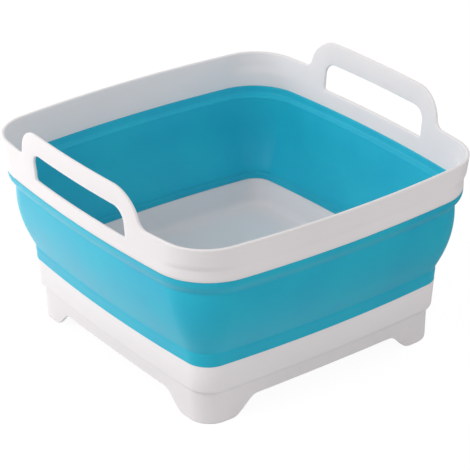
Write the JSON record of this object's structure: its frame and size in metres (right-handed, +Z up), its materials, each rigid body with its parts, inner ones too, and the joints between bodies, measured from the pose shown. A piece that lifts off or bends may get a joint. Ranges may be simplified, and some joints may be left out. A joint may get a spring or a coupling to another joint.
{
  "type": "collapsible wash basin",
  "caption": "Square collapsible wash basin with raised carry handles, a soft folding wall, a rigid base tray on corner feet, and a floor drain with a strainer and a plug.",
  "frame": {"origin": "on the table, under the middle of the basin", "axes": "+Z up, the two handles on the +X and -X sides"},
  "size_m": [0.3158, 0.3132, 0.2008],
  "materials": {
    "rim_plastic": "satin moulded polypropylene",
    "wall_rubber": "soft matte thermoplastic elastomer",
    "tray_plastic": "satin moulded polypropylene",
    "strainer_plastic": "satin moulded polypropylene",
    "plug_rubber": "soft matte thermoplastic elastomer"
  },
  "bodies": {
    "base": {"base_tray": "tray_plastic", "folding_wall": "wall_rubber", "drain_strainer": "strainer_plastic"},
    "rim": {"rim_frame": "rim_plastic"},
    "plug": {"drain_plug": "plug_rubber"}
  },
  "joints": [
    {"name": "collapse", "type": "slide", "parent": "base", "child": "rim", "axis": [0, 0, -1], "range_m": [0, 0.122], "deforming": ["folding_wall"]},
    {"name": "plug_lift", "type": "slide", "parent": "base", "child": "plug", "axis": [0, 0, 1], "range_m": [0, 0.19]}
  ]
}
